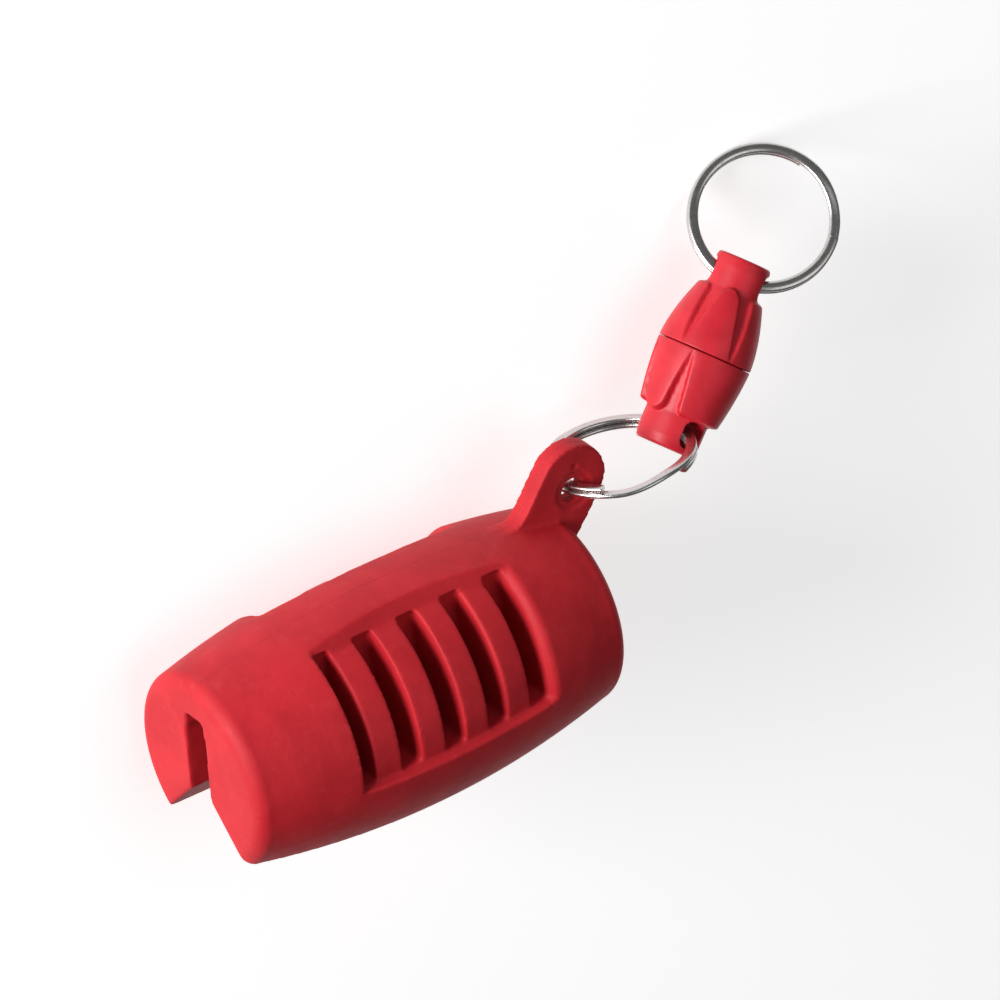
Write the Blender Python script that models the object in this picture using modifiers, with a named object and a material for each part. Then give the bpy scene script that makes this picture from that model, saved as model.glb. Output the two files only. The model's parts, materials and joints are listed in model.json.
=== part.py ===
"""Arrow puller: a rubber grip with an arrow slot, hung on a magnetic pull-apart coupling.

The model is laid out in the grip's frame, in metres: X runs forward along the barrel with the
front face at zero, Y points out of the slot's mouth, Z points up through the upper window.
"""

import math

import bmesh
import bpy
from mathutils import Matrix, Vector

# Grip barrel
GRIP_LENGTH = 0.0810
GRIP_MID_RADIUS = 0.0230
GRIP_END_RADIUS = 0.0183
RIM_FILLET = 0.0030
GRIP_STEPS = 48

# Arrow slot, measured from the barrel's axis
SLOT_WIDTH = 0.0062
SLOT_DEPTH_ABOVE = 0.0108
SLOT_THROAT_BELOW = 0.0049
MOUTH_HALF_ANGLE = math.radians(45.0)

# Finger windows and their ribs, one window on each flank
WINDOW_START = 0.0206
RIB_COUNT = 4
RIB_THICKNESS = 0.0052
RIB_GAP = 0.00425
WINDOW_FRONT_GAP = 0.0035
WINDOW_REAR_GAP = 0.0042
RIB_RECESS = 0.0013
WINDOW_TOP_ANGLE = math.radians(-75.0)
RIB_TOP_ANGLE = math.radians(-67.5)
WINDOW_LOW_ANGLE = math.radians(9.0)
WINDOW_LIP = 0.0014
CORE_WALL = 0.0039

# Lug on the grip's rear
LUG_THICKNESS = 0.0040
LUG_HOLE_DIAMETER = 0.0046
LUG_HEAD_RADIUS = 0.0071
LUG_HEAD_LEAD = 0.0019
LUG_HOLE_REACH = 0.0020
LUG_HOLE_RISE = 0.0053
LUG_FRONT_BASE = 0.0104
LUG_REAR_DROP = 0.0078
LUG_SINK = 0.0020

# Split rings, both the same
RING_OUTER_DIAMETER = 0.0280
WIRE_RADIAL = 0.0020
WIRE_AXIAL = 0.00115
COIL_GAP = 0.0001
RING_CROSSOVER = math.radians(25.0)
RING_STATIONS = 80

# Coupling halves, each measured from the seam
COUPLING_HALF = 0.01835
SEAM_RADIUS = 0.0089
LOWER_SHOULDER_RADIUS = 0.0075
UPPER_SHOULDER_RADIUS = 0.0061
LOBE_SWELL = 1.7
NECK_RADIUS = 0.0051
NECK_LENGTH = 0.0063
SHOULDER_ROUND = 0.0012
CROSS_HOLE_WIDTH = 0.0047
CROSS_HOLE_LENGTH = 0.0050
CROSS_HOLE_EDGE = 0.0037
VALLEY_FROM_HOLE = math.radians(58.5)
VALLEY_RADIUS = 0.0018
SHELL_STEPS = 32
EDGE_CHAMFER = 0.0003

# Magnets in their steel cups, and the spigot that centres the halves
MAGNET_DIAMETER = 0.0084
MAGNET_HEIGHT = 0.0042
CUP_WALL = 0.0010
SPIGOT_HEIGHT = 0.0008
SPIGOT_WALL = 0.0013
FIT_GAP = 0.0003

# How the chain lies behind the grip
RING_SAG = math.radians(7.0)
RING_LEAN = math.radians(7.0)
NECK_ON_RING = math.radians(5.5)
COUPLING_YAW = math.radians(47.4)
COUPLING_DIP = math.radians(8.4)
SWIVEL_TURN = math.radians(45.3)
LUG_RING_CROSSOVER_AT = math.radians(72.0)
KEY_RING_CROSSOVER_AT = math.radians(134.0)

# Worked out from the sizes above
SLOT_HALF = SLOT_WIDTH / 2.0
GAP_WIDTHS = (WINDOW_FRONT_GAP, *(RIB_COUNT - 1) * (RIB_GAP,), WINDOW_REAR_GAP)
WINDOW_LENGTH = RIB_COUNT * RIB_THICKNESS + sum(GAP_WIDTHS)
POCKET_FLOOR = SLOT_HALF + CORE_WALL
RING_MEAN_RADIUS = (RING_OUTER_DIAMETER - WIRE_RADIAL) / 2.0
COIL_PITCH = WIRE_AXIAL + COIL_GAP
RING_THICKNESS = COIL_PITCH + WIRE_AXIAL
CUP_RADIUS = MAGNET_DIAMETER / 2.0 + FIT_GAP + CUP_WALL
CUP_HEIGHT = MAGNET_HEIGHT + FIT_GAP + CUP_WALL
POCKET_RADIUS = CUP_RADIUS + FIT_GAP
POCKET_DEPTH = CUP_HEIGHT + FIT_GAP
SPIGOT_RADIUS = POCKET_RADIUS + SPIGOT_WALL
LOBE_LENGTH = COUPLING_HALF - NECK_LENGTH
LUG_HOLE = Vector(
    (
        -GRIP_LENGTH - LUG_HOLE_REACH,
        -(GRIP_END_RADIUS + LUG_HOLE_RISE),
        0.0,
    )
)
REACH = 0.01

RUBBER_RED = (0.56, 0.030, 0.035)
PLASTIC_RED = (0.64, 0.036, 0.045)
NICKEL = (0.72, 0.71, 0.69)
ZINC = (0.50, 0.51, 0.52)
MAGNET_SILVER = (0.62, 0.62, 0.60)


# ---------------------------------------------------------------- scene helpers


def clear_scene():
    """Remove every object that is in the file."""
    for item in list(bpy.data.objects):
        bpy.data.objects.remove(item, do_unlink=True)


def new_collection(name):
    """A collection linked to the scene."""
    collection = bpy.data.collections.new(name)
    bpy.context.scene.collection.children.link(collection)
    return collection


def make_material(name, colour, roughness, metallic):
    """A Principled material."""
    material = bpy.data.materials.new(name)
    material.use_nodes = True
    shader = material.node_tree.nodes["Principled BSDF"]
    shader.inputs["Base Color"].default_value = (*colour, 1.0)
    shader.inputs["Roughness"].default_value = roughness
    shader.inputs["Metallic"].default_value = metallic
    material.diffuse_color = (*colour, 1.0)
    return material


def add_object(name, mesh, collection, matrix=None):
    """An object for a mesh, in a collection, at a place in the grip's frame."""
    item = bpy.data.objects.new(name, mesh)
    collection.objects.link(item)
    if matrix is not None:
        item.matrix_world = matrix
    return item


def as_cutter(item):
    """Show an object as a wire guide that never renders."""
    item.hide_render = True
    item.display_type = "WIRE"
    return item


def smooth(item):
    """Shade round faces smooth and keep the edges between flats sharp."""
    item.data.shade_smooth()
    item.data.set_sharp_from_angle(angle=math.radians(35.0))


def boolean(item, other, operation):
    """Cut an object with another, or join another to it."""
    modifier = item.modifiers.new(f"{operation.lower()}_{other.name}", "BOOLEAN")
    modifier.operation = operation
    modifier.solver = "EXACT"
    modifier.object = other


def frozen(item, name, collection):
    """Swap an object for the plain mesh that its modifiers or its curve make."""
    bpy.context.view_layer.update()
    depsgraph = bpy.context.evaluated_depsgraph_get()
    mesh = bpy.data.meshes.new_from_object(item.evaluated_get(depsgraph))
    mesh.name = name
    work = bmesh.new()
    work.from_mesh(mesh)
    bmesh.ops.remove_doubles(work, verts=work.verts, dist=1e-6)
    bmesh.ops.recalc_face_normals(work, faces=work.faces)
    work.to_mesh(mesh)
    work.free()
    solid = add_object(name, mesh, collection, item.matrix_world.copy())
    bpy.data.objects.remove(item, do_unlink=True)
    solid.name = name
    return solid


def frame_at(origin, x_axis, z_axis):
    """The matrix of a frame with its Z along z_axis and its X as near x_axis as that allows."""
    z = Vector(z_axis).normalized()
    x = (Vector(x_axis) - z * Vector(x_axis).dot(z)).normalized()
    matrix = Matrix((x, z.cross(x), z)).transposed().to_4x4()
    matrix.translation = origin
    return matrix


def local_offset(x=0.0, y=0.0, z=0.0):
    """A shift inside a frame."""
    return Matrix.Translation(Vector((x, y, z)))


# ---------------------------------------------------------------- basic shapes


def turned(name, profile, steps, collection, matrix=None):
    """A solid of revolution about local Z, from (radius, height) points that run downwards."""
    mesh = bpy.data.meshes.new(name)
    work = bmesh.new()
    points = [work.verts.new((radius, 0.0, height)) for radius, height in profile]
    for start, end in zip(points, points[1:]):
        work.edges.new((start, end))
    work.to_mesh(mesh)
    work.free()
    item = add_object(name, mesh, collection, matrix)
    screw = item.modifiers.new("turn", "SCREW")
    screw.axis = "Z"
    screw.steps = steps
    screw.render_steps = steps
    screw.use_merge_vertices = True
    screw.merge_threshold = 1e-5
    return item


def prism(name, outline, thickness, collection, matrix=None):
    """A flat outline in local XY, thickened equally to both sides of its plane."""
    data = bpy.data.curves.new(name, "CURVE")
    data.dimensions = "2D"
    data.fill_mode = "BOTH"
    data.extrude = thickness / 2.0
    spline = data.splines.new("POLY")
    spline.points.add(len(outline) - 1)
    for point, (x, y) in zip(spline.points, outline):
        point.co = (x, y, 0.0, 1.0)
    spline.use_cyclic_u = True
    curve = add_object(f"{name}_outline", data, collection, matrix)
    return frozen(curve, name, collection)


def cylinder(name, radius, length, collection, matrix=None, steps=32, tip_radius=None):
    """A cylinder or cone along local Z, centred on its frame."""
    mesh = bpy.data.meshes.new(name)
    work = bmesh.new()
    bmesh.ops.create_cone(
        work,
        cap_ends=True,
        segments=steps,
        radius1=radius,
        radius2=radius if tip_radius is None else tip_radius,
        depth=length,
    )
    work.to_mesh(mesh)
    work.free()
    return add_object(name, mesh, collection, matrix)


def arc(centre, radius, start, end, segments):
    """Points along a circular arc in a plane."""
    cx, cy = centre
    points = []
    for step in range(segments + 1):
        angle = start + (end - start) * step / segments
        points.append((cx + radius * math.cos(angle), cy + radius * math.sin(angle)))
    return points


# ---------------------------------------------------------------- grip


def grip_radius(distance):
    """The barrel's radius at a distance behind the front face."""
    half = GRIP_LENGTH / 2.0
    bulge = GRIP_MID_RADIUS - GRIP_END_RADIUS
    sweep = (half * half + bulge * bulge) / (2.0 * bulge)
    offset = distance - half
    return GRIP_MID_RADIUS - sweep + math.sqrt(sweep * sweep - offset * offset)


def grip_profile(inset):
    """The barrel's profile, front face first, with rounded rims; inset draws it inwards."""
    rim = grip_radius(RIM_FILLET)
    points = [(0.0, 0.0)]
    for radius, height in arc((rim - RIM_FILLET, -RIM_FILLET), RIM_FILLET, math.pi / 2, 0.0, 5):
        points.append((radius - inset, height))
    sections = 16
    barrel = GRIP_LENGTH - 2.0 * RIM_FILLET
    for section in range(1, sections):
        distance = RIM_FILLET + barrel * section / sections
        points.append((grip_radius(distance) - inset, -distance))
    rear = -GRIP_LENGTH + RIM_FILLET
    for radius, height in arc((rim - RIM_FILLET, rear), RIM_FILLET, 0.0, -math.pi / 2, 5):
        points.append((radius - inset, height))
    points.append((0.0, -GRIP_LENGTH))
    return points


def barrel_frame():
    """Local Z along the barrel towards its front, local X up."""
    return frame_at((0.0, 0.0, 0.0), (0.0, 0.0, 1.0), (1.0, 0.0, 0.0))


def slot_cutter(cutters):
    """The arrow slot: straight sides, a round closed end and a flared mouth."""
    spread = GRIP_MID_RADIUS + REACH
    mouth = SLOT_HALF + spread * math.tan(MOUTH_HALF_ANGLE)
    end_centre = (-SLOT_DEPTH_ABOVE + SLOT_HALF, 0.0)
    outline = [
        (SLOT_THROAT_BELOW + spread, mouth),
        (SLOT_THROAT_BELOW, SLOT_HALF),
        *arc(end_centre, SLOT_HALF, math.pi / 2, 1.5 * math.pi, 8),
        (SLOT_THROAT_BELOW, -SLOT_HALF),
        (SLOT_THROAT_BELOW + spread, -mouth),
    ]
    matrix = frame_at((-GRIP_LENGTH / 2.0, 0.0, 0.0), (0.0, 1.0, 0.0), (1.0, 0.0, 0.0))
    return prism("slot_cutter", outline, GRIP_LENGTH + 2.0 * REACH, cutters, matrix)


def on_section(angle, radius):
    """A point of the barrel's section: angle from straight up, positive towards the mouth."""
    return (radius * math.sin(angle), radius * math.cos(angle))


def recess_cutter(cutters):
    """What lowers the ribs below the barrel's surface, with a ramp along the window's top."""
    rib_face = GRIP_MID_RADIUS - RIB_RECESS
    top = Vector(on_section(WINDOW_TOP_ANGLE, GRIP_MID_RADIUS))
    foot = Vector(on_section(RIB_TOP_ANGLE, rib_face))
    ramp = (foot - top).normalized()
    low = Vector(on_section(WINDOW_LOW_ANGLE, GRIP_MID_RADIUS))
    lip_foot = Vector((low.x - WINDOW_LIP, low.y - 2.0 * RIB_RECESS))
    lip = (low - lip_foot).normalized()
    outer = GRIP_MID_RADIUS + REACH
    above = top - ramp * REACH * 0.5
    outline = [
        tuple(above),
        tuple(foot + ramp * RIB_RECESS),
        (foot.x + 2.0 * RIB_RECESS, POCKET_FLOOR + RIB_RECESS),
        (lip_foot.x, POCKET_FLOOR + RIB_RECESS),
        tuple(lip_foot),
        tuple(low + lip * REACH * 0.5),
        (low.x + REACH * 0.5, outer),
        (above.x, outer),
    ]
    centre = -(WINDOW_START + WINDOW_LENGTH / 2.0)
    matrix = frame_at((centre, 0.0, 0.0), (0.0, 1.0, 0.0), (1.0, 0.0, 0.0))
    block = prism("recess_block", outline, WINDOW_LENGTH, cutters, matrix)
    core = turned("rib_face", grip_profile(RIB_RECESS), GRIP_STEPS, cutters, barrel_frame())
    boolean(block, core, "DIFFERENCE")
    cutter = frozen(block, "recess_cutter", cutters)
    bpy.data.objects.remove(core, do_unlink=True)
    return cutter


def gap_cutters(cutters):
    """The deep gaps in front of, between and behind the ribs."""
    rib_face = GRIP_MID_RADIUS - RIB_RECESS
    top = on_section(RIB_TOP_ANGLE, rib_face)[0]
    low = on_section(WINDOW_LOW_ANGLE, GRIP_MID_RADIUS)[0] - WINDOW_LIP
    outer = GRIP_MID_RADIUS + REACH
    outline = [(top, POCKET_FLOOR), (low, POCKET_FLOOR), (low, outer), (top, outer)]
    distance = WINDOW_START
    items = []
    for gap, width in enumerate(GAP_WIDTHS):
        matrix = frame_at((-distance - width / 2.0, 0.0, 0.0), (0.0, 1.0, 0.0), (1.0, 0.0, 0.0))
        items.append(prism(f"gap_cutter_{gap}", outline, width, cutters, matrix))
        distance += width + RIB_THICKNESS
    return items


def both_flanks(item):
    """Repeat a cutter on the lower flank."""
    mirror = item.modifiers.new("lower_flank", "MIRROR")
    mirror.use_axis = (False, True, False)
    mirror.use_mirror_merge = False


def lug_outline():
    """The lug in the grip's XY plane: a round head on a tapering root sunk in the barrel."""
    front_distance = GRIP_LENGTH - LUG_FRONT_BASE
    front = Vector((-front_distance, -grip_radius(front_distance) + LUG_SINK))
    rear = Vector((-GRIP_LENGTH + LUG_SINK, -GRIP_END_RADIUS + LUG_REAR_DROP + LUG_SINK))
    centre = LUG_HOLE.to_2d() - Vector((0.0, LUG_HEAD_LEAD))
    start = tangent_angle(front, centre, LUG_HEAD_RADIUS, -1.0)
    end = tangent_angle(rear, centre, LUG_HEAD_RADIUS, 1.0)
    while end > start:
        end -= 2.0 * math.pi
    return [tuple(front), *arc(tuple(centre), LUG_HEAD_RADIUS, start, end, 18), tuple(rear)]


def tangent_angle(point, centre, radius, side):
    """The angle on a circle where the line from an outside point touches it."""
    toward = point - centre
    bearing = math.atan2(toward.y, toward.x)
    return bearing + side * math.acos(radius / toward.length)


def lug_solid(cutters):
    """The lug, to be joined to the barrel."""
    return prism("lug", lug_outline(), LUG_THICKNESS, cutters)


def build_grip(parts, cutters, material):
    """The moulded rubber grip."""
    grip = turned("grip_body", grip_profile(0.0), GRIP_STEPS, parts, barrel_frame())
    boolean(grip, as_cutter(slot_cutter(cutters)), "DIFFERENCE")
    for cutter in [recess_cutter(cutters), *gap_cutters(cutters)]:
        both_flanks(cutter)
        boolean(grip, as_cutter(cutter), "DIFFERENCE")
    boolean(grip, as_cutter(lug_solid(cutters)), "UNION")
    hole = cylinder(
        "lug_hole_cutter",
        LUG_HOLE_DIAMETER / 2.0,
        LUG_THICKNESS + REACH,
        cutters,
        Matrix.Translation(LUG_HOLE),
    )
    boolean(grip, as_cutter(hole), "DIFFERENCE")
    grip.data.materials.append(material)
    return grip


# ---------------------------------------------------------------- split rings


def split_ring_points(crossover_at):
    """The wire's middle line: two flat turns joined by a short step from one to the other."""
    points = []
    start = crossover_at + RING_CROSSOVER + 2.0 * COIL_PITCH / RING_MEAN_RADIUS
    sweep = 4.0 * math.pi - 2.0 * (start - crossover_at)
    for station in range(RING_STATIONS + 1):
        angle = start + sweep * station / RING_STATIONS
        step = (angle - crossover_at - 2.0 * math.pi) / RING_CROSSOVER
        step = max(-1.0, min(1.0, step))
        height = COIL_PITCH / 2.0 * math.sin(step * math.pi / 2.0)
        points.append(
            (
                RING_MEAN_RADIUS * math.cos(angle),
                RING_MEAN_RADIUS * math.sin(angle),
                height,
            )
        )
    return points


def wire_section(cutters):
    """The flattened wire's section, with broken corners."""
    half_radial = WIRE_RADIAL / 2.0
    half_axial = WIRE_AXIAL / 2.0
    corner = half_axial * 0.6
    outline = []
    for sx, sy, first in ((1, -1, 0), (1, 1, 1), (-1, 1, 0), (-1, -1, 1)):
        pair = [
            (sx * (half_radial - corner), sy * half_axial),
            (sx * half_radial, sy * (half_axial - corner)),
        ]
        outline.extend(pair if first == 0 else reversed(pair))
    data = bpy.data.curves.new("wire_section", "CURVE")
    data.dimensions = "2D"
    spline = data.splines.new("POLY")
    spline.points.add(len(outline) - 1)
    for point, (x, y) in zip(spline.points, outline):
        point.co = (x, y, 0.0, 1.0)
    spline.use_cyclic_u = True
    return as_cutter(add_object("wire_section", data, cutters))


def build_split_ring(name, matrix, crossover_at, parts, cutters, material):
    """A split ring about local Z, its middle at the frame's origin."""
    section = wire_section(cutters)
    data = bpy.data.curves.new(name, "CURVE")
    data.dimensions = "3D"
    data.twist_mode = "Z_UP"
    data.bevel_mode = "OBJECT"
    data.bevel_object = section
    data.use_fill_caps = True
    spline = data.splines.new("POLY")
    points = split_ring_points(crossover_at)
    spline.points.add(len(points) - 1)
    for point, (x, y, z) in zip(spline.points, points):
        point.co = (x, y, z, 1.0)
    curve = add_object(f"{name}_wire", data, cutters, matrix)
    ring = frozen(curve, name, parts)
    bpy.data.objects.remove(section, do_unlink=True)
    ring.data.materials.append(material)
    return ring


# ---------------------------------------------------------------- coupling


def lobe_radius(height, shoulder):
    """The lobes' outer radius at a height above the seam, drawn in to shoulder at their tips."""
    share = height / LOBE_LENGTH
    return SEAM_RADIUS - (SEAM_RADIUS - shoulder) * share**LOBE_SWELL


def shell_outside(shoulder):
    """The outside of a coupling half, from the neck's end down to the seam."""
    points = [
        (0.0, COUPLING_HALF),
        (NECK_RADIUS - EDGE_CHAMFER, COUPLING_HALF),
        (NECK_RADIUS, COUPLING_HALF - EDGE_CHAMFER),
        (NECK_RADIUS, LOBE_LENGTH),
    ]
    tip = LOBE_LENGTH - SHOULDER_ROUND
    centre = (lobe_radius(tip, shoulder) - SHOULDER_ROUND, tip)
    points.extend(arc(centre, SHOULDER_ROUND, math.pi / 2, 0.0, 4))
    sections = 7
    for section in range(1, sections + 1):
        height = tip * (1.0 - section / sections)
        points.append((lobe_radius(height, shoulder), max(height, FIT_GAP / 2.0)))
    return points


def spigot_inside():
    """The mating side with a raised spigot round the magnet pocket."""
    face = -SPIGOT_HEIGHT
    floor = face + POCKET_DEPTH
    return [
        (SPIGOT_RADIUS, FIT_GAP / 2.0),
        (SPIGOT_RADIUS, face),
        (POCKET_RADIUS, face),
        (POCKET_RADIUS, floor),
        (0.0, floor),
    ]


def socket_inside():
    """The mating side with a counterbore that takes the other half's spigot."""
    radius = SPIGOT_RADIUS + FIT_GAP
    face = SPIGOT_HEIGHT + FIT_GAP
    floor = face + POCKET_DEPTH
    return [
        (radius, FIT_GAP / 2.0),
        (radius, face),
        (POCKET_RADIUS, face),
        (POCKET_RADIUS, floor),
        (0.0, floor),
    ]


def valley_cutter(name, turn, matrix, cutters):
    """A cone laid along the shell, which leaves a valley that dies out at the seam."""
    low = Vector((SEAM_RADIUS + FIT_GAP, 0.0, 2.0 * FIT_GAP))
    high = Vector((NECK_RADIUS + VALLEY_RADIUS, 0.0, LOBE_LENGTH))
    direction = (high - low).normalized()
    tip = high + direction * SHOULDER_ROUND
    length = (tip - low).length
    radius = VALLEY_RADIUS * length / (high - low).length
    place = frame_at((low + tip) / 2.0, (0.0, 1.0, 0.0), direction)
    rotation = Matrix.Rotation(turn, 4, "Z")
    return cylinder(name, 0.0, length, cutters, matrix @ rotation @ place, 16, radius)


def cross_hole_cutter(name, matrix, cutters):
    """The opening through the neck, a little longer along the neck than it is wide."""
    radius = CROSS_HOLE_WIDTH / 2.0
    offset = (CROSS_HOLE_LENGTH - CROSS_HOLE_WIDTH) / 2.0
    outline = [
        *arc((0.0, offset), radius, 0.0, math.pi, 10),
        *arc((0.0, -offset), radius, math.pi, 2.0 * math.pi, 10),
    ]
    place = frame_at((0.0, 0.0, COUPLING_HALF - CROSS_HOLE_EDGE), (0.0, 1.0, 0.0), (1.0, 0.0, 0.0))
    return prism(name, outline, 2.0 * SEAM_RADIUS + REACH, cutters, matrix @ place)


def build_shell(name, profile, matrix, parts, cutters, material):
    """One half of the coupling: two wide lobes in line with its hole and two narrow ones beside.

    Local Z runs from the seam to its neck, local X along its hole.
    """
    shell = turned(name, profile, SHELL_STEPS, parts, matrix)
    first = VALLEY_FROM_HOLE
    for number, turn in enumerate((first, math.pi - first, math.pi + first, -first)):
        cutter = valley_cutter(f"{name}_valley_{number}", turn, matrix, cutters)
        boolean(shell, as_cutter(cutter), "DIFFERENCE")
    hole = cross_hole_cutter(f"{name}_cross_hole", matrix, cutters)
    boolean(shell, as_cutter(hole), "DIFFERENCE")
    shell.data.materials.append(material)
    return shell


def build_cup(name, face, matrix, parts, material):
    """The steel cup, its open end flush with the mating face."""
    inner = MAGNET_DIAMETER / 2.0 + FIT_GAP
    base = face + CUP_HEIGHT
    profile = [
        (0.0, base),
        (CUP_RADIUS - EDGE_CHAMFER, base),
        (CUP_RADIUS, base - EDGE_CHAMFER),
        (CUP_RADIUS, face),
        (inner, face),
        (inner, base - CUP_WALL),
        (0.0, base - CUP_WALL),
    ]
    cup = turned(name, profile, SHELL_STEPS, parts, matrix)
    cup.data.materials.append(material)
    return cup


def build_magnet(name, face, matrix, parts, material):
    """The disc magnet, flush with its cup's rim, with chamfered edges."""
    radius = MAGNET_DIAMETER / 2.0
    top = face + MAGNET_HEIGHT
    profile = [
        (0.0, top),
        (radius - EDGE_CHAMFER, top),
        (radius, top - EDGE_CHAMFER),
        (radius, face + EDGE_CHAMFER),
        (radius - EDGE_CHAMFER, face),
        (0.0, face),
    ]
    magnet = turned(name, profile, SHELL_STEPS, parts, matrix)
    magnet.data.materials.append(material)
    return magnet


# ---------------------------------------------------------------- how it lies


def wire_seat():
    """How far inside the wire's mean circle a hole's axis sits, so that the bent wire clears it."""
    bow = RING_MEAN_RADIUS - math.sqrt(RING_MEAN_RADIUS**2 - NECK_RADIUS**2)
    return RING_MEAN_RADIUS - bow * 0.45


def lug_ring_frame():
    """The lug ring stands behind the lug, sagging and leaning; its X points to the lug's hole."""
    facing = Vector((0.0, -math.cos(RING_LEAN), -math.sin(RING_LEAN)))
    upward = facing.cross(Vector((1.0, 0.0, 0.0)))
    toward_hole = Vector((math.cos(RING_SAG), 0.0, 0.0)) + upward * math.sin(RING_SAG)
    centre = LUG_HOLE - toward_hole * RING_MEAN_RADIUS
    return frame_at(centre, toward_hole, facing)


def coupling_direction():
    """From the lug ring to the key ring."""
    level = math.cos(COUPLING_DIP)
    return Vector(
        (
            -level * math.cos(COUPLING_YAW),
            -level * math.sin(COUPLING_YAW),
            -math.sin(COUPLING_DIP),
        )
    )


def lower_neck_frame():
    """At the lower cross hole: Z along the coupling, X along the hole."""
    turn = math.pi + NECK_ON_RING - RING_SAG
    ring = lug_ring_frame()
    outward = ring.to_3x3() @ Vector((math.cos(turn), math.sin(turn), 0.0))
    along = ring.to_3x3() @ Vector((math.sin(turn), -math.cos(turn), 0.0))
    seat = ring.translation + outward * wire_seat()
    return frame_at(seat, along, coupling_direction())


def upper_neck_frame():
    """At the upper cross hole: Z along the coupling, X along the hole."""
    run = 2.0 * (COUPLING_HALF - CROSS_HOLE_EDGE)
    return lower_neck_frame() @ local_offset(z=run) @ Matrix.Rotation(SWIVEL_TURN, 4, "Z")


def seam_frame(upwards):
    """At the seam, with Z towards the upper neck, or towards the lower one."""
    if upwards:
        return upper_neck_frame() @ local_offset(z=-(COUPLING_HALF - CROSS_HOLE_EDGE))
    middle = lower_neck_frame() @ local_offset(z=COUPLING_HALF - CROSS_HOLE_EDGE)
    return middle @ Matrix.Rotation(math.pi, 4, "X")


def key_ring_frame(droop):
    """The key ring beyond the upper neck, swung down by droop about the hole's axis."""
    neck = upper_neck_frame()
    hole = neck.col[0].to_3d()
    along = Matrix.Rotation(-droop, 3, hole) @ neck.col[2].to_3d()
    centre = neck.translation + along * wire_seat()
    return frame_at(centre, -along, hole.cross(along))


def ring_lowest(matrix):
    """The lowest point of a split ring."""
    normal_rise = abs(matrix.col[2].z)
    slope = math.sqrt(max(0.0, 1.0 - normal_rise**2))
    thickness = RING_THICKNESS / 2.0
    return matrix.translation.z - RING_OUTER_DIAMETER / 2.0 * slope - thickness * normal_rise


def key_ring_droop(surface):
    """The swing at which the key ring comes down to the surface, by halving."""
    up = math.radians(-45.0)
    down = math.radians(60.0)
    for _ in range(40):
        middle = (up + down) / 2.0
        if ring_lowest(key_ring_frame(middle)) > surface:
            up = middle
        else:
            down = middle
    return up


def corners(items):
    """The lowest and highest corners of the objects as they are evaluated."""
    bpy.context.view_layer.update()
    depsgraph = bpy.context.evaluated_depsgraph_get()
    points = []
    for item in items:
        mesh = item.evaluated_get(depsgraph).to_mesh()
        points.extend(item.matrix_world @ vertex.co for vertex in mesh.vertices)
    low = Vector([min(point[axis] for point in points) for axis in range(3)])
    high = Vector([max(point[axis] for point in points) for axis in range(3)])
    return low, high


def pivot(name, matrix, collection, parent):
    """An empty on a joint's axis, carried by the pivot before it."""
    empty = add_object(name, None, collection, matrix)
    empty.empty_display_size = RING_MEAN_RADIUS / 2.0
    attach(empty, parent)
    return empty


def attach(item, parent):
    """Parent an object and leave it where it is."""
    if parent is None:
        return
    bpy.context.view_layer.update()
    place = item.matrix_world.copy()
    item.parent = parent
    item.matrix_parent_inverse = parent.matrix_world.inverted()
    item.matrix_world = place


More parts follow.
